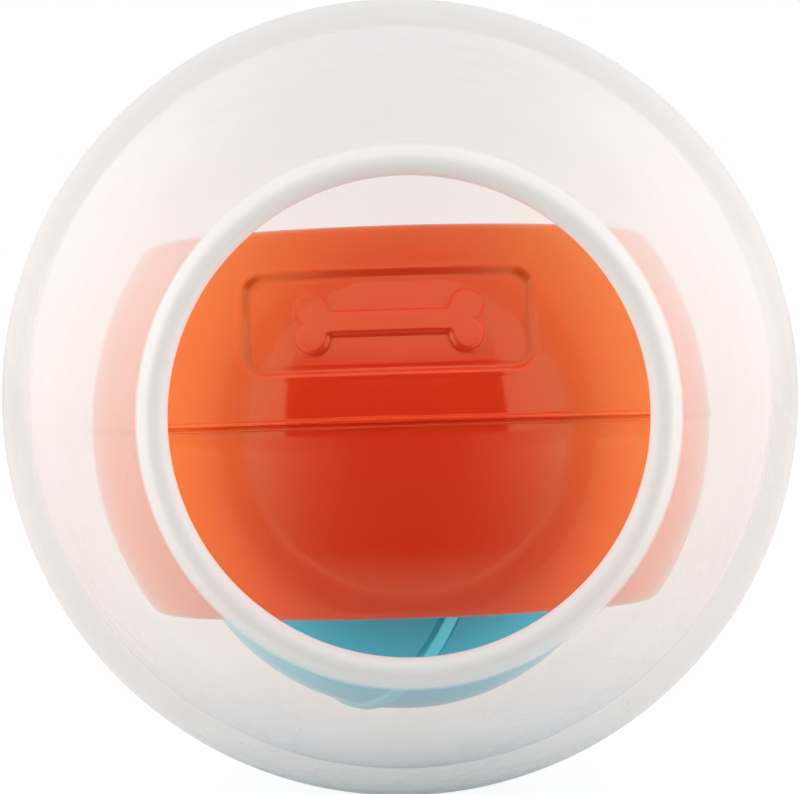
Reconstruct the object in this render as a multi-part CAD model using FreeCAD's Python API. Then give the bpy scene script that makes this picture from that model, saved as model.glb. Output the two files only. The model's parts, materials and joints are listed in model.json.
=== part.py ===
import FreeCAD, Part
import math
import os

# Nested treat ball for dogs. A translucent outer ball with one round mouth holds a loose barrel
# with two open ends, and the barrel holds a closed ball that seats in either end.
# Millimetres and degrees. Z is up, the mouth faces -Y, and the origin is where the ball touches the floor.

# Outer ball
OUTER_D = 127.0            # width across the outside
OUTER_WALL = 4.2
MOUTH_D = 70.2             # clear width of the mouth, across its rounded lip

# Barrel, a ball with both ends cut flat
BARREL_SIDE_GAP = 9.9      # outer ball's inner wall to the barrel's side, if the barrel were central
BARREL_FLOOR_GAP = 4.9     # outer ball's inner wall to the barrel's ridge, where they come nearest
BARREL_WALL = 2.4
BARREL_LEAN = -4.3         # the barrel's turn about X as it lies, front edge up
BARREL_RIDGE_W = 1.3       # moulding ridge round the middle
BARREL_RIDGE_H = 0.8
END_CORNER = 3.0           # rounding between the side and each flat end
INNER_CORNER = 1.0         # the same corner, inside

# Ball inside the barrel
BALL_SIDE_GAP = 9.8        # barrel's inner wall to the ball's side, if the ball were central
BALL_WALL = 2.0
BALL_TRAVEL = 18.4         # way that the ball goes from its seat in one end to its seat in the other
BALL_STANDOUT = 17.1       # how far the seated ball stands out of the barrel's end
BALL_RIDGE_W = 2.5         # moulding ridge round the ball
BALL_RIDGE_H = 0.7
BALL_RIDGE_TILT = 76.0     # the ridge's plane, tilted from the barrel's own
BALL_RIDGE_TURN = -159.0   # and turned about the barrel's axis
SEAT_CLEARANCE = 0.3       # ball's ridge to the lip that it seats on

# Sunk panel on the barrel's front, with a raised bone in it
PANEL_W = 43.4
PANEL_SHIFT = -2.5         # panel's middle, sideways of the mouth's
PANEL_RIDGE_MARGIN = 7.2   # panel's foot, above the moulding ridge
PANEL_END_MARGIN = 6.8     # panel's top, below the flat end
PANEL_CORNER = 3.2
PANEL_DEPTH = 0.8
BONE_LENGTH = 23.0         # between the middles of the knuckles
BONE_SHAFT = 3.6
BONE_KNUCKLE_R = 2.5

# Worked out from the sizes above
OUTER_R = OUTER_D / 2
OUTER_INNER_R = OUTER_R - OUTER_WALL
BARREL_R = OUTER_INNER_R - BARREL_SIDE_GAP
BARREL_INNER_R = BARREL_R - BARREL_WALL
BARREL_DROP = BARREL_SIDE_GAP - BARREL_RIDGE_H - BARREL_FLOOR_GAP
BALL_R = BARREL_INNER_R - BALL_SIDE_GAP
BALL_DROP = BALL_TRAVEL / 2
END_Z = BALL_DROP + BALL_R - BALL_STANDOUT

X_AXIS = FreeCAD.Vector(1, 0, 0)
Y_AXIS = FreeCAD.Vector(0, 1, 0)
Z_AXIS = FreeCAD.Vector(0, 0, 1)
ORIGIN = FreeCAD.Vector(0, 0, 0)


def section(radius, height):
    """A point of a profile: how far from the turning axis, and how far along it."""
    return FreeCAD.Vector(radius, 0, height)


def polar(radius, angle):
    """A point of a profile on a circle round the origin. The angle starts at the axis's foot."""
    return section(radius * math.sin(angle), -radius * math.cos(angle))


def arc(first, middle, last):
    return Part.Arc(first, middle, last).toShape()


def line(first, last):
    return Part.LineSegment(first, last).toShape()


def turned(edges):
    """The closed profile, turned a full turn about Z."""
    return Part.Face(Part.Wire(edges)).revolve(ORIGIN, Z_AXIS, 360)


def ball_arc(radius, low, high):
    """The arc of a circle round the origin from one height to another, on the outside."""
    middle = (low + high) / 2
    ends = [section(math.sqrt(radius**2 - z**2), z) for z in (low, middle, high)]
    return arc(*ends)


def ridge(radius, width, height):
    """The rounded ridge that a mould's two halves leave round a ball's middle."""
    foot = math.sqrt(radius**2 - (width / 2) ** 2)
    return arc(section(foot, -width / 2), section(radius + height, 0), section(foot, width / 2))


def corner(radius, height, rounding):
    """Where a ball's side rounds over to a flat end: its two ends and its middle."""
    centre = section(math.sqrt((radius - rounding) ** 2 - (height - rounding) ** 2), height - rounding)
    on_side = centre * (radius / (radius - rounding))
    on_end = centre + Z_AXIS * rounding
    outwards = ((on_side - centre) + (on_end - centre)).normalize()
    return on_side, centre + outwards * rounding, on_end


def flipped(point):
    return section(point.x, -point.z)


def outer_ball():
    """A thick ball whose wall ends in a full round at the mouth. Turned about Z, then laid mouth to -Y."""
    lip_r = OUTER_WALL / 2
    middle_r = OUTER_R - lip_r
    lip_angle = math.asin((MOUTH_D / 2 + lip_r) / middle_r)
    half_way = (lip_angle + math.pi) / 2
    to_mouth = section(-math.cos(lip_angle), -math.sin(lip_angle))
    lip_outside = polar(OUTER_R, lip_angle)
    lip_inside = polar(OUTER_INNER_R, lip_angle)
    lip_tip = polar(middle_r, lip_angle) + to_mouth * lip_r
    edges = [
        arc(polar(OUTER_R, math.pi), polar(OUTER_R, half_way), lip_outside),
        arc(lip_outside, lip_tip, lip_inside),
        arc(lip_inside, polar(OUTER_INNER_R, half_way), polar(OUTER_INNER_R, math.pi)),
        line(polar(OUTER_INNER_R, math.pi), polar(OUTER_R, math.pi)),
    ]
    ball = turned(edges)
    ball.rotate(ORIGIN, X_AXIS, -90)
    ball.translate(Z_AXIS * OUTER_R)
    return ball


def end_opening():
    """Radius of each end's opening: its rounded lip is what the ball's ridge seats on."""
    lip_r = BARREL_WALL / 2
    reach = BALL_R + BALL_RIDGE_H + SEAT_CLEARANCE + lip_r
    below_ball = END_Z - lip_r - BALL_DROP
    return math.sqrt(reach**2 - below_ball**2) - lip_r


def barrel_shell():
    """The barrel's wall: side, rounded corners and flat ends that turn in to the openings' lips."""
    lip_r = BARREL_WALL / 2
    lip = end_opening()
    flat_edge = math.sqrt(BARREL_R**2 - END_Z**2)
    rounding = min(END_CORNER, (flat_edge - lip - lip_r) / 1.5)
    inner_z = END_Z - BARREL_WALL
    side, over, end = corner(BARREL_R, END_Z, rounding)
    inner_side, inner_over, inner_end = corner(BARREL_INNER_R, inner_z, min(INNER_CORNER, rounding / 2))
    lip_top = section(lip + lip_r, END_Z)
    lip_tip = section(lip, END_Z - lip_r)
    lip_back = section(lip + lip_r, inner_z)
    half_ridge = BARREL_RIDGE_W / 2
    edges = [
        ball_arc(BARREL_R, -side.z, -half_ridge),
        ridge(BARREL_R, BARREL_RIDGE_W, BARREL_RIDGE_H),
        ball_arc(BARREL_R, half_ridge, side.z),
        arc(side, over, end),
        line(end, lip_top),
        arc(lip_top, lip_tip, lip_back),
        line(lip_back, inner_end),
        arc(inner_end, inner_over, inner_side),
        ball_arc(BARREL_INNER_R, -inner_side.z, inner_side.z),
        arc(flipped(inner_side), flipped(inner_over), flipped(inner_end)),
        line(flipped(inner_end), flipped(lip_back)),
        arc(flipped(lip_back), flipped(lip_tip), flipped(lip_top)),
        line(flipped(lip_top), flipped(end)),
        arc(flipped(end), flipped(over), flipped(side)),
    ]
    return turned([edge for group in Part.sortEdges(edges) for edge in group])


def towards_mouth(width, height, rounding):
    """A rounded bar, centred on the origin and running from it to -Y."""
    rounding = min(rounding, height * 0.45)
    block = Part.makeBox(width, OUTER_R, height, FreeCAD.Vector(-width / 2, -OUTER_R, -height / 2))
    long_edges = [e for e in block.Edges if abs(e.tangentAt(e.FirstParameter).y) > 0.5]
    return block.makeFillet(rounding, long_edges)


def bone():
    """A plain bone: a shaft with two knuckles at each end, running from the origin to -Y."""
    shaft = towards_mouth(BONE_LENGTH, BONE_SHAFT, BONE_SHAFT / 4)
    knuckles = []
    for side in (-1, 1):
        for up in (-1, 1):
            foot = FreeCAD.Vector(side * BONE_LENGTH / 2, 0, up * BONE_KNUCKLE_R * 0.85)
            knuckles.append(Part.makeCylinder(BONE_KNUCKLE_R, OUTER_R, foot, -Y_AXIS))
    return shaft.multiFuse(knuckles)


def panel_cut():
    """What is cut away for the panel: its floor follows the barrel's side, and the bone stays."""
    foot = PANEL_RIDGE_MARGIN
    top = END_Z - PANEL_END_MARGIN
    place = FreeCAD.Vector(PANEL_SHIFT, 0, (foot + top) / 2)
    window = towards_mouth(PANEL_W, top - foot, PANEL_CORNER).cut(bone())
    window.translate(place)
    return window.cut(Part.makeSphere(BARREL_R - PANEL_DEPTH))


def as_it_lies(shape):
    """Moves a piece from the barrel's own frame to its place in the outer ball."""
    shape.rotate(ORIGIN, X_AXIS, BARREL_LEAN)
    shape.translate(Z_AXIS * (OUTER_R - BARREL_DROP))
    return shape


def barrel():
    return as_it_lies(barrel_shell().cut(panel_cut()))


def centre_ball():
    """A closed hollow ball with a moulding ridge, seated in the barrel's lower end."""
    half_ridge = BALL_RIDGE_W / 2
    edges = [
        ball_arc(BALL_R, -BALL_R, -half_ridge),
        ridge(BALL_R, BALL_RIDGE_W, BALL_RIDGE_H),
        ball_arc(BALL_R, half_ridge, BALL_R),
        line(section(0, BALL_R), section(0, -BALL_R)),
    ]
    ball = turned(edges).cut(Part.makeSphere(BALL_R - BALL_WALL))
    ball.rotate(ORIGIN, Y_AXIS, BALL_RIDGE_TILT)
    ball.rotate(ORIGIN, Z_AXIS, BALL_RIDGE_TURN)
    ball.translate(Z_AXIS * -BALL_DROP)
    return as_it_lies(ball)


def main():
    os.makedirs("parts", exist_ok=True)
    pieces = {"outer_ball": outer_ball(), "barrel": barrel(), "centre_ball": centre_ball()}
    for name, shape in pieces.items():
        shape.exportStep(f"parts/{name}.step")
        print(name, len(shape.Solids), "solid", round(shape.Volume / 1000, 2), "cm3", shape.isValid())
    for first, second in (("outer_ball", "barrel"), ("barrel", "centre_ball"), ("outer_ball", "centre_ball")):
        print(first, "to", second, round(pieces[first].distToShape(pieces[second])[0], 2), "mm apart")


main()
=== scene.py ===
import json
import math

import bmesh
import bpy
from bpy.props import FloatProperty, FloatVectorProperty, PointerProperty
from mathutils import Matrix, Vector, noise


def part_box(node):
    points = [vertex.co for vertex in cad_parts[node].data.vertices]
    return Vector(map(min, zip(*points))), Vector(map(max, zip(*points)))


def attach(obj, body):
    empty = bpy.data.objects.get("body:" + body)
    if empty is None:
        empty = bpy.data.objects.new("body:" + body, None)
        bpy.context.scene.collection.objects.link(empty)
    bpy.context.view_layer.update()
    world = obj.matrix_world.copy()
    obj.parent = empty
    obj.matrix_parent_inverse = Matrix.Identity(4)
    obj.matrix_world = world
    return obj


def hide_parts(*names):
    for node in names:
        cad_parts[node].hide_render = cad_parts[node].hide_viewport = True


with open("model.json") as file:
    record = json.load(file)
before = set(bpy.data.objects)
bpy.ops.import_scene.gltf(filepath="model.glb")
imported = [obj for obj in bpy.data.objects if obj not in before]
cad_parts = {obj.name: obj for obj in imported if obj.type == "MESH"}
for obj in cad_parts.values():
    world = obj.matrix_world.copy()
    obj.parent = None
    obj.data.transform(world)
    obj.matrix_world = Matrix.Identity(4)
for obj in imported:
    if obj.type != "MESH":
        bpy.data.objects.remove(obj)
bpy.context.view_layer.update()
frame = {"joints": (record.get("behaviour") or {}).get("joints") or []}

bl_info = {
    "name": "Nested Treat Ball",
    "version": (1, 0, 0),
    "blender": (4, 5, 0),
    "location": "View3D > Sidebar > Treat Ball",
    "description": "Builds a dog's nested treat ball with its moulded plastics and its studio",
    "category": "Add Mesh",
}

MM = 0.001
PICTURE_WIDTH = 800

JOINTS = {joint["name"]: joint for joint in frame["joints"]}
OUTER_LOW, OUTER_HIGH = (Vector(corner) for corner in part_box("outer_ball"))
BARREL_LOW, BARREL_HIGH = (Vector(corner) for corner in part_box("barrel"))
BALL_LOW, BALL_HIGH = (Vector(corner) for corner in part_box("centre_ball"))

OUTER_R = (OUTER_HIGH.z - OUTER_LOW.z) / 2
OUTER_MIDDLE = Vector((0, 0, OUTER_LOW.z + OUTER_R))
BARREL_MIDDLE = Vector(JOINTS["barrel_tumble"]["pos_m"])
BARREL_AXIS = Vector(JOINTS["ball_travel"]["axis"]).normalized()
BALL_MIDDLE = (BALL_LOW + BALL_HIGH) / 2

LYING = Vector((0, 0, 1)).rotation_difference(BARREL_AXIS).to_matrix().to_4x4()


class TreatBallSizes(bpy.types.PropertyGroup):
    """Sizes of the three mouldings."""

    outer_radius: FloatProperty(
        name="Outer radius", description="Outer ball, outside", default=OUTER_R, unit="LENGTH")
    outer_wall: FloatProperty(
        name="Outer wall", description="Thickness of the outer ball", default=4.2 * MM, unit="LENGTH")
    mouth_radius: FloatProperty(
        name="Mouth radius", description="Clear radius inside the mouth's lip", default=35.1 * MM,
        unit="LENGTH")
    barrel_wall: FloatProperty(
        name="Barrel wall", description="Thickness of the barrel", default=2.4 * MM, unit="LENGTH")
    barrel_ridge_width: FloatProperty(
        name="Barrel ridge width", description="Moulding ridge round the barrel", default=1.3 * MM,
        unit="LENGTH")
    barrel_ridge_height: FloatProperty(
        name="Barrel ridge height", description="How far the ridge stands up", default=0.8 * MM,
        unit="LENGTH")
    barrel_half_height: FloatProperty(
        name="Barrel half height", description="Middle of the barrel to its flat end",
        default=29.3 * MM, unit="LENGTH")
    barrel_corner: FloatProperty(
        name="Barrel corner", description="Rounding between side and flat end", default=3.0 * MM,
        unit="LENGTH")
    barrel_opening: FloatProperty(
        name="Barrel opening radius", description="Clear radius inside the end's lip",
        default=33.4 * MM, unit="LENGTH")
    ball_ridge_width: FloatProperty(
        name="Ball ridge width", description="Moulding ridge round the centre ball",
        default=2.5 * MM, unit="LENGTH")
    ball_ridge_height: FloatProperty(
        name="Ball ridge height", description="How far the ridge stands up", default=0.7 * MM,
        unit="LENGTH")
    ball_ridge_tilt: FloatProperty(
        name="Ball ridge tilt", description="Tilt of the ball's ridge from the barrel's own",
        default=math.radians(76), subtype="ANGLE")
    ball_ridge_turn: FloatProperty(
        name="Ball ridge turn", description="Turn of the ball's ridge about the barrel's axis",
        default=math.radians(-159), subtype="ANGLE")
    panel_width: FloatProperty(
        name="Panel width", description="Sunk panel on the barrel's front", default=43.4 * MM,
        unit="LENGTH")
    panel_shift: FloatProperty(
        name="Panel shift", description="Panel's middle, sideways", default=-2.5 * MM, unit="LENGTH")
    panel_foot: FloatProperty(
        name="Panel foot", description="Ridge to the panel's lower edge", default=7.2 * MM,
        unit="LENGTH")
    panel_top: FloatProperty(
        name="Panel top", description="Ridge to the panel's upper edge", default=22.5 * MM,
        unit="LENGTH")
    panel_corner: FloatProperty(
        name="Panel corner", description="Rounding of the panel's corners", default=3.2 * MM,
        unit="LENGTH")
    panel_depth: FloatProperty(
        name="Panel depth", description="How deep the panel is sunk", default=0.8 * MM, unit="LENGTH")
    bone_length: FloatProperty(
        name="Bone length", description="Between the middles of the bone's knuckles",
        default=23.0 * MM, unit="LENGTH")
    bone_shaft: FloatProperty(
        name="Bone shaft", description="Thickness of the bone's shaft", default=3.6 * MM,
        unit="LENGTH")
    bone_knuckle: FloatProperty(
        name="Bone knuckle radius", description="Each of the bone's four knuckles",
        default=2.5 * MM, unit="LENGTH")


class TreatBallColours(bpy.types.PropertyGroup):
    """Colours and haze of the plastics; some colours carry painted shade and painted light."""

    shell: FloatVectorProperty(
        name="Shell", description="Milky plastic of the outer ball", default=(0.9, 0.895, 0.91),
        subtype="COLOR", min=0, max=1)
    lip: FloatVectorProperty(
        name="Lip", description="Denser milky plastic of the mouth's lip", default=(0.945, 0.945, 0.935),
        subtype="COLOR", min=0, max=1)
    # Painted shade and painted blue bounce light on the milky plastic near the floor
    shell_foot_painted_shade: FloatVectorProperty(
        name="Shell foot", description="Milky plastic low down, where the blue shines into it",
        default=(0.82, 0.83, 0.875), subtype="COLOR", min=0, max=1)
    shell_haze: FloatProperty(
        name="Shell haze", description="Share of light that each face of the wall scatters, high up",
        default=0.28, subtype="FACTOR", min=0, max=1)
    shell_low_haze: FloatProperty(
        name="Shell haze below", description="The same share near the floor", default=0.09,
        subtype="FACTOR", min=0, max=1)
    # The orange and the deep orange after it are the ends of a painted gradient: painted light towards
    # the barrel's outline, painted shade in its middle as seen from the front
    orange: FloatVectorProperty(
        name="Orange", description="Barrel's plastic where it is thin", default=(0.98, 0.23, 0.036),
        subtype="COLOR", min=0, max=1)
    painted_shade_orange: FloatVectorProperty(
        name="Deep orange", description="Barrel's plastic where it is thick",
        default=(0.85, 0.05, 0.012), subtype="COLOR", min=0, max=1)
    # The blue and the deep blue after it are the ends of a painted gradient: painted light towards the
    # centre ball's outline, painted shade in its middle as seen from the front
    blue: FloatVectorProperty(
        name="Blue", description="Centre ball's plastic where it is thin", default=(0.13, 0.76, 1.0),
        subtype="COLOR", min=0, max=1)
    painted_shade_blue: FloatVectorProperty(
        name="Deep blue", description="Centre ball's plastic where it is thick",
        default=(0.06, 0.42, 0.54), subtype="COLOR", min=0, max=1)
    pale_blue: FloatVectorProperty(
        name="Pale blue", description="Centre ball's plastic on its moulding ridge",
        default=(0.2, 0.85, 0.95), subtype="COLOR", min=0, max=1)


def arc(centre, radius, start, end, count):
    """Points of an arc in the X-Z plane. Angles are in degrees from +X towards +Z."""
    points = []
    for i in range(count + 1):
        angle = math.radians(start + (end - start) * i / count)
        points.append(centre + Vector((math.cos(angle), 0, math.sin(angle))) * radius)
    return points


def on_circle(radius, height):
    """The angle, in degrees, at which a circle round the origin has this height."""
    return math.degrees(math.asin(height / radius))


def joined(*runs):
    """One list of points from several runs that share their ends."""
    points = []
    for run in runs:
        points += [p for p in run if not points or (p - points[-1]).length > 1e-7]
    return points


def turned(profile, closed, sectors):
    """A bmesh from a profile that is turned about Z, sector after sector.

    A sector is its angle, its steps in the first slice, and how often the slice is doubled.
    """
    whole = bmesh.new()
    start = 0.0
    for angle, steps, doublings in sectors:
        sector = bmesh.new()
        corners = [sector.verts.new(p) for p in profile]
        pairs = list(zip(corners, corners[1:]))
        if closed:
            pairs.append((corners[-1], corners[0]))
        geometry = corners + [sector.edges.new(pair) for pair in pairs]
        swept = angle / 2**doublings
        bmesh.ops.spin(
            sector, geom=geometry, cent=(0, 0, 0), axis=(0, 0, 1), dvec=(0, 0, 0), angle=swept,
            steps=steps, use_merge=False, use_duplicate=False)
        for i in range(doublings):
            copy = bmesh.ops.duplicate(
                sector, geom=sector.verts[:] + sector.edges[:] + sector.faces[:])
            bmesh.ops.rotate(
                sector, verts=[g for g in copy["geom"] if isinstance(g, bmesh.types.BMVert)],
                cent=(0, 0, 0), matrix=Matrix.Rotation(swept * 2**i, 3, "Z"))
        bmesh.ops.rotate(
            sector, verts=sector.verts, cent=(0, 0, 0), matrix=Matrix.Rotation(start, 3, "Z"))
        passed = bpy.data.meshes.new("sector")
        sector.to_mesh(passed)
        sector.free()
        whole.from_mesh(passed)
        bpy.data.meshes.remove(passed)
        start += angle
    bmesh.ops.remove_doubles(whole, verts=whole.verts, dist=1e-6)
    bmesh.ops.recalc_face_normals(whole, faces=whole.faces)
    return whole


def finished(bm, name, place, material, body, node):
    """Puts a turned moulding in its place, and gives it its plastic and its body."""
    bmesh.ops.transform(bm, matrix=place, verts=bm.verts)
    mesh = bpy.data.meshes.new(name)
    for face in bm.faces:
        face.smooth = True
    bm.to_mesh(mesh)
    bm.free()
    piece = bpy.data.objects.new(name, mesh)
    bpy.context.scene.collection.objects.link(piece)
    mesh.materials.append(material)
    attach(piece, body)
    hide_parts(node)


def smooth_step(value, low, high):
    """0 at low, 1 at high, and smooth between them. High may be the lower number."""
    share = min(1.0, max(0.0, (value - low) / (high - low)))
    return share * share * (3 - 2 * share)


def box_distance(x, z, half_width, half_height, corner):
    """Distance outside a rounded rectangle, negative inside."""
    over_x = abs(x) - half_width + corner
    over_z = abs(z) - half_height + corner
    outside = math.hypot(max(over_x, 0), max(over_z, 0))
    return outside + min(max(over_x, over_z), 0) - corner


def bone_distance(x, z, sizes):
    """Distance outside the raised bone, negative inside. Its knuckles flow into its shaft."""
    half_length = sizes.bone_length / 2
    knuckle_r = sizes.bone_knuckle
    shaft = box_distance(x, z, half_length, sizes.bone_shaft / 2, sizes.bone_shaft / 4)
    knuckle = math.hypot(abs(x) - half_length, abs(z) - knuckle_r * 0.85) - knuckle_r
    blend = 0.8 * MM
    share = min(1.0, max(0.0, 0.5 + 0.5 * (knuckle - shaft) / blend))
    return knuckle + (shaft - knuckle) * share - blend * share * (1 - share)


def new_material(name):
    material = bpy.data.materials.new(name)
    material.use_nodes = True
    material.node_tree.nodes.clear()
    return material


def add_node(tree, kind, settings=None, **values):
    """A node of a tree, with its settings and the values of its sockets by name."""
    made = tree.nodes.new(kind)
    for key, value in (settings or {}).items():
        setattr(made, key, value)
    for key, value in values.items():
        socket = made.inputs[key.replace("_", " ")]
        if isinstance(value, bpy.types.NodeSocket):
            tree.links.new(value, socket)
        elif hasattr(socket.default_value, "__len__") and len(socket.default_value) == 4:
            socket.default_value = (*value, 1)
        else:
            socket.default_value = value
    return made


def maths(tree, operation, *values, clamp=False):
    """A Math node's output. Values are numbers or sockets."""
    made = tree.nodes.new("ShaderNodeMath")
    made.operation = operation
    made.use_clamp = clamp
    for socket, value in zip(made.inputs, values):
        if isinstance(value, bpy.types.NodeSocket):
            tree.links.new(value, socket)
        else:
            socket.default_value = value
    return made.outputs[0]


def map_range(tree, value, low, high, to_low, to_high):
    """A smooth step between two values of a socket."""
    made = tree.nodes.new("ShaderNodeMapRange")
    made.interpolation_type = "SMOOTHSTEP"
    tree.links.new(value, made.inputs["Value"])
    ends = {"From Min": low, "From Max": high, "To Min": to_low, "To Max": to_high}
    for name, number in ends.items():
        made.inputs[name].default_value = number
    return made.outputs["Result"]


def hypotenuse(tree, first, second):
    squares = [maths(tree, "MULTIPLY", leg, leg) for leg in (first, second)]
    return maths(tree, "SQRT", maths(tree, "ADD", *squares))


def mix_colours(tree, share, first, second):
    """Mixes two colours, each a colour or a socket, by a socket's share of the second."""
    made = add_node(tree, "ShaderNodeMix", {"data_type": "RGBA"}, Factor=share)
    for socket, colour in zip((made.inputs[6], made.inputs[7]), (first, second)):
        if isinstance(colour, bpy.types.NodeSocket):
            tree.links.new(colour, socket)
        else:
            socket.default_value = (*colour, 1)
    return made.outputs[2]


def mix_shaders(tree, share, first, second):
    made = tree.nodes.new("ShaderNodeMixShader")
    if isinstance(share, bpy.types.NodeSocket):
        tree.links.new(share, made.inputs[0])
    else:
        made.inputs[0].default_value = share
    tree.links.new(first, made.inputs[1])
    tree.links.new(second, made.inputs[2])
    return made.outputs[0]


def show(tree, shader):
    out = tree.nodes.new("ShaderNodeOutputMaterial")
    tree.links.new(shader, out.inputs["Surface"])


def object_place(tree, centre):
    """Object coordinates, centred on a piece."""
    where = tree.nodes.new("ShaderNodeTexCoord")
    moved = tree.nodes.new("ShaderNodeMapping")
    moved.vector_type = "TEXTURE"
    moved.inputs["Location"].default_value = centre
    tree.links.new(where.outputs["Object"], moved.inputs["Vector"])
    return moved.outputs["Vector"]


# Milky plastic. Heights are from the outer ball's middle.
STREAKS_START = 44 * MM          # no flow streaks nearer to the mouth's axis
STREAKS_FULL = 58 * MM
STREAK_SCALE = 190.0
STREAK_LENGTHENING = 0.14
STREAK_HAZE = 0.3
LOW_HAZE_HEIGHT = -45 * MM
HIGH_HAZE_HEIGHT = 25 * MM
FOOT_HEIGHT = -56 * MM           # the wall is milkiest and most even below
ABOVE_FOOT_HEIGHT = -36 * MM
FOOT_HAZE = 0.1
FOOT_EVENNESS = 0.55
# Reach of the painted shade and painted blue bounce light, from the ball's lowest point as seen from the
# front
FOOT_SHADE_FULL_REACH = 12 * MM
FOOT_SHADE_FADES_BY = 110 * MM
WAVE_SCALE = 22.0
LOW_LIP_HEIGHT = -38 * MM
HIGH_LIP_HEIGHT = -12 * MM
LOW_LIP_HAZE = 0.78
HIGH_LIP_HAZE = 0.93
LIGHT_LET_THROUGH = 0.6          # how much less haze the light meets on its way in
STEEPEST_SLANT = 0.15
WALL_STARTS = 0.98               # how aslant the wall's outside is where its band at the outline starts
WALL_FULL = 1.015
LIGHT_FROM_INSIDE_AT = (-20 * MM, 30 * MM)   # from the mouth backwards
LIGHT_FROM_INSIDE = (0.2, 0.65)
LIP_LIGHT_FROM_INSIDE = 0.05
FRONT_SHEEN = 0.036
CLEAR_FACE = (0.98, 0.972, 0.955)
CLEAR_WALL = (0.84, 0.83, 0.8)   # the same, seen along the wall at the outline


def flow_streaks(tree, apart, from_axis):
    """Streaks round the mouth's axis, drawn out along the ball, that fade out towards the mouth."""
    rings = add_node(
        tree, "ShaderNodeCombineXYZ", X=from_axis,
        Y=maths(tree, "MULTIPLY", apart.outputs["X"], STREAK_LENGTHENING),
        Z=maths(tree, "MULTIPLY", apart.outputs["Z"], STREAK_LENGTHENING))
    noisy = add_node(
        tree, "ShaderNodeTexNoise", Vector=rings.outputs[0], Scale=STREAK_SCALE, Detail=2.0,
        Roughness=0.5)
    near_outline = map_range(tree, from_axis, STREAKS_START, STREAKS_FULL, 0.0, 1.0)
    return maths(tree, "MULTIPLY", maths(tree, "SUBTRACT", noisy.outputs["Fac"], 0.5), near_outline)


def face_haze(tree, height, at_foot, streaks, facing, colours):
    """Share of light that a face of the wall scatters: the more, the more aslant it is seen."""
    by_height = add_node(
        tree, "ShaderNodeMapRange", Value=height, From_Min=LOW_HAZE_HEIGHT,
        From_Max=HIGH_HAZE_HEIGHT, To_Min=colours.shell_low_haze, To_Max=colours.shell_haze)
    haze = maths(tree, "MULTIPLY_ADD", streaks, STREAK_HAZE, by_height.outputs["Result"])
    haze = maths(tree, "MULTIPLY_ADD", at_foot, FOOT_HAZE, haze)
    way = maths(
        tree, "DIVIDE", 1.0,
        maths(tree, "MAXIMUM", maths(tree, "SUBTRACT", 1.0, facing), STEEPEST_SLANT))
    way = maths(tree, "POWER", way, maths(tree, "MULTIPLY_ADD", at_foot, -FOOT_EVENNESS, 1.0))
    unscattered = maths(tree, "SUBTRACT", 1.0, haze, clamp=True)
    return maths(tree, "SUBTRACT", 1.0, maths(tree, "POWER", unscattered, way))


def along_wall(tree, place, sizes):
    """1 at the outline of the outside, where one looks along the wall, and 0 elsewhere."""
    from_middle = add_node(tree, "ShaderNodeVectorMath", {"operation": "LENGTH"}, Vector=place)
    outside = maths(
        tree, "GREATER_THAN", from_middle.outputs["Value"], sizes.outer_radius - 1 * MM)
    solid_edge = math.sqrt(1 - (1 - sizes.outer_wall / sizes.outer_radius) ** 2)
    slant = add_node(tree, "ShaderNodeLayerWeight", Blend=0.5)
    in_wall = map_range(
        tree, slant.outputs["Facing"], WALL_STARTS - solid_edge, WALL_FULL - solid_edge, 0.0, 1.0)
    return maths(tree, "MULTIPLY", in_wall, outside)


def milk_tone(tree, apart, lip, sizes, colours):
    """The milk's colour: painted shade and painted blue bounce light at the ball's foot, fading upwards,
    and the lip's denser milk.
    """
    upwards = add_node(
        tree, "ShaderNodeCombineXYZ", X=apart.outputs["X"],
        Z=maths(tree, "ADD", apart.outputs["Z"], sizes.outer_radius))
    from_foot = add_node(
        tree, "ShaderNodeVectorMath", {"operation": "LENGTH"}, Vector=upwards.outputs[0])
    out_of_foot_shade = map_range(
        tree, from_foot.outputs["Value"], FOOT_SHADE_FULL_REACH, FOOT_SHADE_FADES_BY, 0.0, 1.0)
    wall_tone = mix_colours(tree, out_of_foot_shade, tuple(colours.shell_foot_painted_shade), tuple(colours.shell))
    return mix_colours(tree, lip, wall_tone, tuple(colours.lip))


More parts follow.
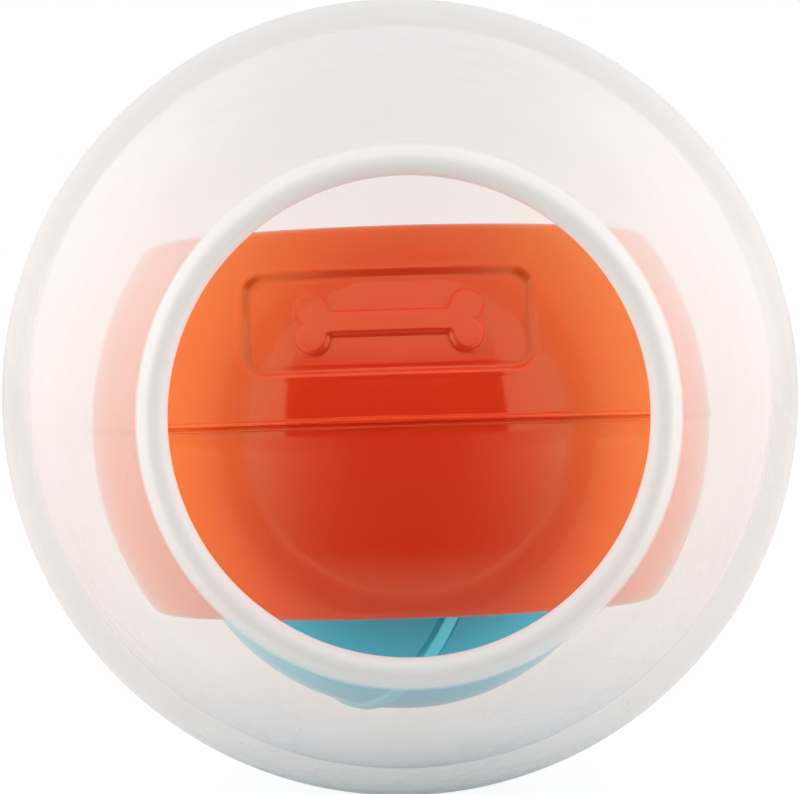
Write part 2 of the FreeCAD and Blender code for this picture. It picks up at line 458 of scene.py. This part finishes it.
def milky_shell(sizes, colours):
    """Thick milky plastic: hazy, uneven in flow streaks, even at its foot, dense at the mouth's lip."""
    material = new_material("milky_shell")
    tree = material.node_tree
    place = object_place(tree, OUTER_MIDDLE)
    apart = add_node(tree, "ShaderNodeSeparateXYZ", Vector=place)
    height = apart.outputs["Z"]
    from_axis = hypotenuse(tree, apart.outputs["X"], height)
    in_front = maths(tree, "LESS_THAN", apart.outputs["Y"], 0.0)
    lip_edge = sizes.mouth_radius + sizes.outer_wall
    lip = maths(
        tree, "MULTIPLY", in_front,
        map_range(tree, from_axis, lip_edge, lip_edge + 1 * MM, 1.0, 0.0))
    at_foot = map_range(tree, height, FOOT_HEIGHT, ABOVE_FOOT_HEIGHT, 1.0, 0.0)
    streaks = flow_streaks(tree, apart, from_axis)
    wave = add_node(
        tree, "ShaderNodeTexNoise", Vector=place, Scale=WAVE_SCALE, Detail=1.5, Roughness=0.4,
        Distortion=0.4)
    swell = add_node(
        tree, "ShaderNodeBump", Strength=0.2, Distance=0.4 * MM, Height=wave.outputs["Fac"])
    relief = add_node(
        tree, "ShaderNodeBump", Strength=0.35, Distance=0.25 * MM, Height=streaks,
        Normal=swell.outputs["Normal"]).outputs["Normal"]
    facing = add_node(
        tree, "ShaderNodeLayerWeight", Blend=0.5, Normal=relief).outputs["Facing"]
    haze = face_haze(tree, height, at_foot, streaks, facing, colours)
    in_wall = along_wall(tree, place, sizes)
    less_milk = maths(tree, "MULTIPLY", in_wall, maths(tree, "SUBTRACT", 1.0, at_foot))
    haze = maths(tree, "MULTIPLY", haze, maths(tree, "MULTIPLY_ADD", less_milk, -0.5, 1.0))
    dense = map_range(tree, height, LOW_LIP_HEIGHT, HIGH_LIP_HEIGHT, LOW_LIP_HAZE, HIGH_LIP_HAZE)
    haze = maths(tree, "MAXIMUM", haze, maths(tree, "MULTIPLY", lip, dense), clamp=True)
    rays = tree.nodes.new("ShaderNodeLightPath")
    for_light = maths(tree, "MULTIPLY_ADD", rays.outputs["Is Shadow Ray"], -LIGHT_LET_THROUGH, 1.0)
    haze = maths(tree, "MULTIPLY", haze, for_light)
    # The milk's colour carries the painted shade and painted blue bounce light at the foot
    tone = milk_tone(tree, apart, lip, sizes, colours)
    skin = add_node(
        tree, "ShaderNodeBsdfPrincipled", Base_Color=tone, Roughness=0.2, IOR=1.47, Normal=relief)
    through = add_node(tree, "ShaderNodeBsdfTranslucent", Color=tone)
    inside_light = map_range(tree, apart.outputs["Y"], *LIGHT_FROM_INSIDE_AT, *LIGHT_FROM_INSIDE)
    inside_light = maths(tree, "MULTIPLY_ADD", lip, LIP_LIGHT_FROM_INSIDE, inside_light)
    milk = mix_shaders(tree, inside_light, skin.outputs[0], through.outputs[0])
    clear = add_node(
        tree, "ShaderNodeBsdfTransparent", Color=mix_colours(tree, in_wall, CLEAR_FACE, CLEAR_WALL))
    gloss = add_node(
        tree, "ShaderNodeBsdfGlossy", Color=(1, 1, 1), Roughness=0.12, Normal=relief)
    sheen = maths(
        tree, "MULTIPLY_ADD", maths(tree, "POWER", facing, 5.0), 1 - FRONT_SHEEN, FRONT_SHEEN)
    pane = mix_shaders(tree, sheen, clear.outputs[0], gloss.outputs[0])
    show(tree, mix_shaders(tree, haze, pane, milk))
    return material


# Moulded plastics
# Spreads of the painted shade in the middle and the painted light towards the outline: full shade within
# the first reach, full light beyond the second, how much less that counts up and down, and how far the
# shaded middle lies below the piece's middle
BARREL_PAINTED_SHADE_SPREAD = (15 * MM, 40 * MM, 0.65, 4 * MM)
BARREL_DEPTH = (1.0, 0.12, 0.04)
BARREL_SHEEN = (1.0, 0.8, 0.42)
# The centre ball's painted shade and painted light, spread the same way
BALL_PAINTED_SHADE_SPREAD = (14 * MM, 34 * MM, 1.0, 3 * MM)
BALL_DEPTH = (0.3, 0.8, 1.0)
BALL_SHEEN = (0.6, 1.0, 1.0)
PLASTIC_DEPTH = 0.7 * MM
SEAM_RAGGEDNESS = 0.8 * MM
CLOUD_SCALE = 30.0
CLOUDINESS = 0.12
MOULD_WAVE_SCALE = 55.0
GRAIN_SCALE = 900.0


def moulded_plastic(name, colour, deep, centre, spread, depth, sheen, seam=None):
    """Glossy blow moulded plastic, with faint waves from the mould. Its deep colour in the middle
    as seen from the front is painted shade, its lighter colour towards the outline painted light.

    The spread is how far from its middle the painted shade is full, where the painted light is
    full, how much less that counts up and down, and how far the shaded middle lies below the
    piece's middle. The seam is the moulding ridge's plane, half its width and its colour.
    """
    material = new_material(name)
    tree = material.node_tree
    place = object_place(tree, centre)
    cloud = add_node(
        tree, "ShaderNodeTexNoise", Vector=place, Scale=CLOUD_SCALE, Detail=4.0,
        Roughness=0.55)
    apart = add_node(tree, "ShaderNodeSeparateXYZ", Vector=place)
    shaded, fully_lit, upright, drop = spread
    low = maths(tree, "MULTIPLY_ADD", apart.outputs["Z"], upright, drop)
    from_middle = hypotenuse(tree, apart.outputs["X"], low)
    # Share of painted light: it grows away from the middle as seen from the front, which leaves painted
    # shade in the middle; the cloud adds real random tone
    thin = maths(
        tree, "ADD", map_range(tree, from_middle, shaded, fully_lit, 0.0, 1.0),
        maths(tree, "MULTIPLY", maths(tree, "SUBTRACT", cloud.outputs["Fac"], 0.5), CLOUDINESS))
    tint = mix_colours(tree, thin, deep, colour)
    if seam:
        plane, half_width, pale = seam
        above_seam = add_node(tree, "ShaderNodeVectorMath", {"operation": "DOT_PRODUCT"}, Vector=place)
        above_seam.inputs[1].default_value = plane
        ragged = maths(
            tree, "MULTIPLY_ADD", cloud.outputs["Fac"], -SEAM_RAGGEDNESS,
            maths(tree, "ABSOLUTE", above_seam.outputs["Value"]))
        on_seam = map_range(tree, ragged, half_width - 0.9 * MM, half_width - 0.5 * MM, 0.8, 0.0)
        tint = mix_colours(tree, on_seam, tint, pale)
    wave = add_node(
        tree, "ShaderNodeTexNoise", Vector=place, Scale=MOULD_WAVE_SCALE, Detail=2.0)
    grain = add_node(
        tree, "ShaderNodeTexNoise", Vector=place, Scale=GRAIN_SCALE, Detail=2.0)
    waves = add_node(
        tree, "ShaderNodeBump", Strength=0.25, Distance=0.15 * MM, Height=wave.outputs["Fac"])
    grains = add_node(
        tree, "ShaderNodeBump", Strength=0.05, Distance=0.02 * MM, Height=grain.outputs["Fac"],
        Normal=waves.outputs["Normal"])
    rough = map_range(tree, cloud.outputs["Fac"], 0.3, 0.7, 0.05, 0.09)
    body = add_node(
        tree, "ShaderNodeBsdfPrincipled", Base_Color=tint, Roughness=rough, IOR=1.55,
        Specular_IOR_Level=1.0, Specular_Tint=sheen,
        Subsurface_Weight=0.9, Subsurface_Radius=depth, Subsurface_Scale=PLASTIC_DEPTH,
        Normal=grains.outputs["Normal"])
    show(tree, body.outputs[0])
    return material


class TREATBALL_OT_outer_ball(bpy.types.Operator):
    """Thick translucent ball with a round mouth and a full round lip"""

    bl_idname = "treatball.outer_ball"
    bl_label = "Outer Ball"

    def execute(self, context):
        sizes = context.scene.treat_ball_sizes
        radius = sizes.outer_radius
        wall = sizes.outer_wall
        lip_r = wall / 2
        middle_r = radius - lip_r
        lip_angle = math.degrees(math.asin((sizes.mouth_radius + lip_r) / middle_r)) - 90
        lip_middle = arc(Vector(), middle_r, lip_angle, lip_angle, 1)[0]
        lip = arc(lip_middle, lip_r, lip_angle, lip_angle - 180, 32)
        profile = joined(
            arc(Vector(), radius, 90, lip_angle, 120), lip,
            arc(Vector(), radius - wall, lip_angle, 90, 120))
        bm = turned(profile, False, [(math.tau, 15, 4)])
        mouth_forward = Matrix.Rotation(math.radians(-90), 4, "X")
        finished(
            bm, "outer_ball_shell", Matrix.Translation(OUTER_MIDDLE) @ mouth_forward,
            milky_shell(sizes, context.scene.treat_ball_colours), "outer_ball", "outer_ball")
        return {"FINISHED"}


# How finely the barrel is divided: rows at the panel's height, and the sector that holds the panel
PANEL_ROWS = 96
PLAIN_ROWS = 20
PANEL_SECTOR = math.radians(68)
RIDGE_REACH = 1.5 * MM


def barrel_profile(sizes, radius, panel_rows):
    """Half of the barrel's section, from the middle of its ridge round its upper end to the inside."""
    wall = sizes.barrel_wall
    end = sizes.barrel_half_height
    rounding = sizes.barrel_corner
    inner_r = radius - wall
    inner_end = end - wall
    corner_x = math.sqrt((radius - rounding) ** 2 - (end - rounding) ** 2)
    corner = Vector((corner_x, 0, end - rounding))
    side_angle = math.degrees(math.atan2(corner.z, corner.x))
    inner_round = 1.0 * MM
    inner_x = math.sqrt((inner_r - inner_round) ** 2 - (inner_end - inner_round) ** 2)
    inner_corner = Vector((inner_x, 0, inner_end - inner_round))
    inner_angle = math.degrees(math.atan2(inner_corner.z, inner_corner.x))
    lip = Vector((sizes.barrel_opening + wall / 2, 0, end - wall / 2))
    above_ridge = on_circle(radius, RIDGE_REACH)
    panel_low = on_circle(radius, sizes.panel_foot - 1.5 * MM)
    panel_high = on_circle(radius, sizes.panel_top + 1.5 * MM)
    return joined(
        arc(Vector(), radius, 0, above_ridge, 22),
        arc(Vector(), radius, above_ridge, panel_low, 8),
        arc(Vector(), radius, panel_low, panel_high, panel_rows),
        arc(Vector(), radius, panel_high, side_angle, 6),
        arc(corner, rounding, side_angle, 90, 10),
        [Vector((corner.x * 0.6 + lip.x * 0.4, 0, end))],
        arc(lip, wall / 2, 90, 270, 12),
        [Vector((inner_corner.x, 0, inner_end))],
        arc(inner_corner, inner_round, 90, inner_angle, 4),
        arc(Vector(), inner_r, inner_angle, 0, 16))


def hump(distance, half_width, flat):
    """A rounded hump across its width: 1 within its flat share of it, 0 at its foot."""
    return 1 - smooth_step(abs(distance), half_width * flat, half_width)


# Barrel's ridge: its full line and the finer one, from the middle of the ridge
FULL_LINE_Z = 0.25 * MM
FINE_LINE_Z = -0.62 * MM
FINE_LINE_HALF_WIDTH = 0.26 * MM
LINE_WANDER = 0.1 * MM


def raise_double_ridge(bm, sizes, radius):
    """Raises the barrel's moulding ridge: a full line with a finer one below it, both uneven."""
    half = sizes.barrel_ridge_width / 2
    for vert in bm.verts:
        if abs(vert.co.z) > RIDGE_REACH or vert.co.length < radius - 0.5 * sizes.barrel_wall:
            continue
        around = vert.co.normalized() * 8
        uneven = noise.noise(around)
        fine = noise.noise(around * 5)
        wide = hump(vert.co.z - FULL_LINE_Z, half * (0.85 + 0.3 * uneven), 0.2)
        thin = hump(vert.co.z - FINE_LINE_Z + LINE_WANDER * uneven, FINE_LINE_HALF_WIDTH, 0.1)
        rise = sizes.barrel_ridge_height * max(
            wide * (0.85 + 0.12 * fine), thin * (0.5 + 0.3 * uneven))
        vert.co *= 1 + min(rise, sizes.barrel_ridge_height) / radius


# Centre ball's ridge
FOOT_GROOVE_HALF_WIDTH = 0.35 * MM
FOOT_GROOVE_DEPTH = 0.2 * MM


def raise_flat_ridge(bm, sizes, radius):
    """Raises the centre ball's moulding ridge: a flat ragged band between two shallow grooves."""
    half = sizes.ball_ridge_width / 2
    for vert in bm.verts:
        if abs(vert.co.z) > half * 1.35:
            continue
        around = vert.co.normalized()
        ragged = noise.noise(around * 14) * 0.5 + noise.noise(around * 40) * 0.5
        rise = hump(vert.co.z, half * (0.93 + 0.2 * ragged), 0.8) * (0.88 + 0.12 * ragged)
        foot = hump(abs(vert.co.z) - half * 1.05, FOOT_GROOVE_HALF_WIDTH, 0.2)
        vert.co *= 1 + (sizes.ball_ridge_height * rise - FOOT_GROOVE_DEPTH * foot) / radius


# Panel's edge: a soft brim outside it and a groove inside it
BRIM_MIDDLE = 0.4 * MM
BRIM_HALF_WIDTH = 0.6 * MM
BRIM_HEIGHT = 0.08 * MM
GROOVE_MIDDLE = -0.9 * MM
GROOVE_HALF_WIDTH = 0.5 * MM
GROOVE_DEPTH = 0.12 * MM
PANEL_SLOPE = 0.5 * MM


def press_panel(bm, sizes, radius):
    """Sinks the panel into the barrel's front, with a soft brim, and leaves the bone standing in it."""
    middle_z = (sizes.panel_foot + sizes.panel_top) / 2
    half_height = (sizes.panel_top - sizes.panel_foot) / 2
    for vert in bm.verts:
        on_front = vert.co.y < 0 and vert.co.length > radius - 0.5 * sizes.barrel_wall
        if not on_front or not sizes.panel_foot - 2 * MM < vert.co.z < sizes.panel_top + 2 * MM:
            continue
        x = vert.co.x - sizes.panel_shift
        z = vert.co.z - middle_z
        edge = box_distance(x, z, sizes.panel_width / 2, half_height, sizes.panel_corner)
        sunk = 1 - smooth_step(edge, -PANEL_SLOPE, 0.0)
        brim = smooth_step(abs(edge - BRIM_MIDDLE), BRIM_HALF_WIDTH, 0.0)
        groove = smooth_step(abs(edge - GROOVE_MIDDLE), GROOVE_HALF_WIDTH, 0.0)
        raised = 1 - smooth_step(bone_distance(x, z, sizes), -0.4 * MM, 0.2 * MM)
        rise = BRIM_HEIGHT * brim - GROOVE_DEPTH * groove
        rise -= sizes.panel_depth * sunk * (1 - 0.9 * raised)
        vert.co *= 1 + rise / radius


# Faint unevenness of the barrel's side
SWELL_LENGTH = 22 * MM
SWELL_HEIGHT = 0.03 * MM


class TREATBALL_OT_barrel(bpy.types.Operator):
    """Blow moulded barrel with open ends, a moulding ridge and a sunk panel with a raised bone"""

    bl_idname = "treatball.barrel"
    bl_label = "Barrel"

    def execute(self, context):
        sizes = context.scene.treat_ball_sizes
        colours = context.scene.treat_ball_colours
        radius = (BARREL_HIGH.x - BARREL_LOW.x) / 2 - sizes.barrel_ridge_height
        plain_half = barrel_profile(sizes, radius, PLAIN_ROWS)
        profile = barrel_profile(sizes, radius, PANEL_ROWS)
        profile += [Vector((p.x, 0, -p.z)) for p in reversed(plain_half[1:-1])]
        bm = turned(profile, True, [(PANEL_SECTOR, 14, 4), (math.tau - PANEL_SECTOR, 6, 4)])
        start_in_front = Matrix.Rotation(math.radians(-90) - PANEL_SECTOR / 2, 4, "Z")
        bmesh.ops.transform(bm, matrix=start_in_front, verts=bm.verts)
        press_panel(bm, sizes, radius)
        raise_double_ridge(bm, sizes, radius)
        for vert in bm.verts:
            swell = noise.noise(vert.co / SWELL_LENGTH)
            vert.co *= 1 + SWELL_HEIGHT * (swell - 0.5) / radius
        plastic = moulded_plastic(
            "orange_plastic", tuple(colours.orange), tuple(colours.painted_shade_orange), BARREL_MIDDLE,
            BARREL_PAINTED_SHADE_SPREAD, BARREL_DEPTH, BARREL_SHEEN)
        finished(
            bm, "barrel_moulding", Matrix.Translation(BARREL_MIDDLE) @ LYING, plastic, "barrel",
            "barrel")
        return {"FINISHED"}


class TREATBALL_OT_centre_ball(bpy.types.Operator):
    """Closed blow moulded ball with a slanting moulding ridge"""

    bl_idname = "treatball.centre_ball"
    bl_label = "Centre Ball"

    def execute(self, context):
        sizes = context.scene.treat_ball_sizes
        colours = context.scene.treat_ball_colours
        reach = max(BALL_HIGH - BALL_LOW) / 2
        radius = reach - sizes.ball_ridge_height
        foot = on_circle(radius, sizes.ball_ridge_width * 0.7)
        profile = joined(
            arc(Vector(), radius, -90, -foot, 60),
            arc(Vector(), radius, -foot, foot, 48),
            arc(Vector(), radius, foot, 90, 60))
        bm = turned(profile, False, [(math.tau, 24, 4)])
        raise_flat_ridge(bm, sizes, radius)
        tilt = Matrix.Rotation(sizes.ball_ridge_tilt, 4, "Y")
        turn = Matrix.Rotation(sizes.ball_ridge_turn, 4, "Z")
        lying = LYING @ turn @ tilt
        seam = (lying @ Vector((0, 0, 1)), sizes.ball_ridge_width / 2, tuple(colours.pale_blue))
        plastic = moulded_plastic(
            "blue_plastic", tuple(colours.blue), tuple(colours.painted_shade_blue), BALL_MIDDLE,
            BALL_PAINTED_SHADE_SPREAD, BALL_DEPTH, BALL_SHEEN, seam)
        finished(
            bm, "centre_ball_moulding", Matrix.Translation(BALL_MIDDLE) @ lying, plastic,
            "centre_ball", "centre_ball")
        return {"FINISHED"}


# Camera, from the outer ball's middle
CAMERA_DISTANCE = 508 * MM
CAMERA_AZIMUTH = math.radians(-1.54)
CAMERA_ELEVATION = math.radians(3.54)
CAMERA_ROLL = math.radians(-1.6)
SENSOR_WIDTH = 36.0
FOCAL_PIXELS = 3162.0


def look_at(piece, target, roll=0.0):
    """Turns a lamp or the camera to the target, rolled about its own line of sight."""
    away = piece.location - target
    upright = away.to_track_quat("Z", "Y")
    piece.rotation_euler = (upright @ Matrix.Rotation(roll, 3, "Z").to_quaternion()).to_euler()


def soft_box(name, place, width, height, power, colour, in_gloss):
    """A lamp that faces the toy, unseen by the camera, and mirrored in shiny plastic or not."""
    lamp = bpy.data.lights.new(name, "AREA")
    lamp.shape = "RECTANGLE"
    lamp.size = width
    lamp.size_y = height
    lamp.energy = power
    lamp.color = colour
    box = bpy.data.objects.new(name, lamp)
    bpy.context.scene.collection.objects.link(box)
    box.location = place
    look_at(box, OUTER_MIDDLE)
    box.visible_camera = False
    box.visible_glossy = in_gloss


# Lamps, in watts
WARM_WHITE = (1, 0.99, 0.97)
BACK_BOX_POWER = 0.25
SIDE_BOX_POWER = 2.15
FRONT_BOX_POWER = 0.7

# Floor round the toy, and the dark card in front of it
CARD_EDGES = (0.1, 1.6)              # how far to the side for its way ahead
CARD_START = (-100 * MM, -45 * MM)
SHADE_REACH = (18 * MM, 60 * MM)     # no glow from below nearer to where the toy stands
FLOOR_WHITE = 0.7
CARD_WHITE = 0.05
FLOOR_GLOW = 1.1
GLOSS_DIMMING = 0.7                  # how much less of the glow shiny plastic sees
CAMERA_WHITE = 0.8

# Tent: its front opening's width and place, and its light
FRONT_OPENING = 0.83
OPENING_SHIFT = 0.075
ROOM_LIGHT = 0.03
OPENING_EDGE = 0.04
ROOF_EDGE = (0.25, 0.6)              # the tent closes over the opening from here to here
TENT_LIGHT_BEHIND = 0.88
TENT_LIGHT_BESIDE = 1.0
BESIDE_EDGE = (0.5, 0.95)


def floor_material():
    """White paper lit from below round the toy, dark card far in front, and white for the camera."""
    material = new_material("white_floor")
    tree = material.node_tree
    where = tree.nodes.new("ShaderNodeTexCoord")
    apart = add_node(tree, "ShaderNodeSeparateXYZ", Vector=where.outputs["Object"])
    ahead = maths(tree, "MAXIMUM", maths(tree, "MULTIPLY", apart.outputs["Y"], -1.0), 1 * MM)
    beside = maths(tree, "DIVIDE", maths(tree, "ABSOLUTE", apart.outputs["X"]), ahead)
    beside = map_range(tree, beside, *CARD_EDGES, 0.0, 1.0)
    near = map_range(tree, apart.outputs["Y"], *CARD_START, 0.0, 1.0)
    from_toy = add_node(
        tree, "ShaderNodeVectorMath", {"operation": "LENGTH"}, Vector=where.outputs["Object"])
    clear_of_toy = map_range(tree, from_toy.outputs["Value"], *SHADE_REACH, 0.0, 1.0)
    lit = maths(tree, "MAXIMUM", beside, near)
    rays = tree.nodes.new("ShaderNodeLightPath")
    camera = maths(tree, "MULTIPLY", rays.outputs["Is Camera Ray"], CAMERA_WHITE)
    white = maths(
        tree, "MAXIMUM", maths(tree, "MULTIPLY_ADD", lit, FLOOR_WHITE, CARD_WHITE), camera)
    tone = add_node(tree, "ShaderNodeCombineColor", Red=white, Green=white, Blue=white)
    paper = add_node(tree, "ShaderNodeBsdfDiffuse", Color=tone.outputs[0])
    light = add_node(tree, "ShaderNodeEmission", Color=(1, 1, 1), Strength=FLOOR_GLOW)
    shine = maths(tree, "MULTIPLY_ADD", rays.outputs["Is Glossy Ray"], -GLOSS_DIMMING, 1.0)
    glow = maths(tree, "MULTIPLY", maths(tree, "MULTIPLY", lit, clear_of_toy), shine)
    share = maths(tree, "MAXIMUM", glow, camera)
    show(tree, mix_shaders(tree, share, paper.outputs[0], light.outputs[0]))
    return material


def white_surroundings():
    """A white tent round the toy, open in front where the room is dark, and white for the camera."""
    world = bpy.data.worlds.new("studio")
    bpy.context.scene.world = world
    world.use_nodes = True
    tree = world.node_tree
    tree.nodes.clear()
    where = tree.nodes.new("ShaderNodeTexCoord")
    apart = add_node(tree, "ShaderNodeSeparateXYZ", Vector=where.outputs["Generated"])
    beside = maths(
        tree, "MULTIPLY_ADD", apart.outputs["Y"], FRONT_OPENING,
        maths(tree, "ABSOLUTE", maths(tree, "ADD", apart.outputs["X"], OPENING_SHIFT)))
    open_front = map_range(tree, beside, 0.0, OPENING_EDGE, ROOM_LIGHT, 1.0)
    above = map_range(tree, apart.outputs["Z"], *ROOF_EDGE, 0.0, 1.0)
    sideways = maths(tree, "ABSOLUTE", apart.outputs["X"])
    tent = map_range(tree, sideways, *BESIDE_EDGE, TENT_LIGHT_BEHIND, TENT_LIGHT_BESIDE)
    tent = maths(tree, "MULTIPLY", tent, maths(tree, "MAXIMUM", open_front, above))
    rays = tree.nodes.new("ShaderNodeLightPath")
    level = maths(tree, "MAXIMUM", tent, rays.outputs["Is Camera Ray"])
    sky = add_node(tree, "ShaderNodeBackground", Color=(1, 1, 1), Strength=level)
    out = tree.nodes.new("ShaderNodeOutputWorld")
    tree.links.new(sky.outputs[0], out.inputs["Surface"])


class TREATBALL_OT_stage(bpy.types.Operator):
    """Pale floor, soft boxes behind, beside and in front, white surroundings and the camera"""

    bl_idname = "treatball.stage"
    bl_label = "Stage"

    def execute(self, context):
        scene = context.scene
        bm = bmesh.new()
        bmesh.ops.create_grid(bm, x_segments=1, y_segments=1, size=6.0)
        mesh = bpy.data.meshes.new("floor")
        bm.to_mesh(mesh)
        bm.free()
        floor = bpy.data.objects.new("floor", mesh)
        floor.location.z = OUTER_LOW.z
        scene.collection.objects.link(floor)
        mesh.materials.append(floor_material())
        for side in (-1, 1):
            name = "left" if side < 0 else "right"
            soft_box(
                "back_box_" + name, Vector((side * 0.62, 0.42, 0.3)), 0.3, 1.0, BACK_BOX_POWER,
                WARM_WHITE, True)
            soft_box(
                "side_box_" + name, Vector((side * 0.66, -0.18, 0.2)), 0.4, 0.7, SIDE_BOX_POWER,
                WARM_WHITE, False)
        soft_box(
            "front_box", Vector((0, -0.65, 0.4)), 0.6, 0.16, FRONT_BOX_POWER, (1, 1, 1), False)
        white_surroundings()
        camera_data = bpy.data.cameras.new("camera")
        camera_data.sensor_width = SENSOR_WIDTH
        camera_data.lens = FOCAL_PIXELS / PICTURE_WIDTH * SENSOR_WIDTH
        camera = bpy.data.objects.new("camera", camera_data)
        scene.collection.objects.link(camera)
        back = Vector((
            math.sin(CAMERA_AZIMUTH) * math.cos(CAMERA_ELEVATION),
            -math.cos(CAMERA_AZIMUTH) * math.cos(CAMERA_ELEVATION),
            math.sin(CAMERA_ELEVATION)))
        camera.location = OUTER_MIDDLE + back * CAMERA_DISTANCE
        look_at(camera, OUTER_MIDDLE, CAMERA_ROLL)
        scene.camera = camera
        scene.view_settings.view_transform = "Standard"
        return {"FINISHED"}


class TREATBALL_PT_panel(bpy.types.Panel):
    """Sizes, colours and the steps that build the toy"""

    bl_idname = "TREATBALL_PT_panel"
    bl_label = "Treat Ball"
    bl_space_type = "VIEW_3D"
    bl_region_type = "UI"
    bl_category = "Treat Ball"

    def draw(self, context):
        layout = self.layout
        for group in (context.scene.treat_ball_sizes, context.scene.treat_ball_colours):
            column = layout.column()
            for name in group.bl_rna.properties.keys():
                if name not in ("rna_type", "name"):
                    column.prop(group, name)
        for operator in OPERATORS:
            layout.operator(operator.bl_idname)


OPERATORS = (
    TREATBALL_OT_outer_ball,
    TREATBALL_OT_barrel,
    TREATBALL_OT_centre_ball,
    TREATBALL_OT_stage,
)
CLASSES = (TreatBallSizes, TreatBallColours, *OPERATORS, TREATBALL_PT_panel)


def register():
    for cls in CLASSES:
        bpy.utils.register_class(cls)
    bpy.types.Scene.treat_ball_sizes = PointerProperty(type=TreatBallSizes)
    bpy.types.Scene.treat_ball_colours = PointerProperty(type=TreatBallColours)


def unregister():
    del bpy.types.Scene.treat_ball_colours
    del bpy.types.Scene.treat_ball_sizes
    for cls in reversed(CLASSES):
        bpy.utils.unregister_class(cls)


def main():
    register()
    bpy.ops.treatball.outer_ball()
    bpy.ops.treatball.barrel()
    bpy.ops.treatball.centre_ball()
    bpy.ops.treatball.stage()


if __name__ == "__main__":
    main()
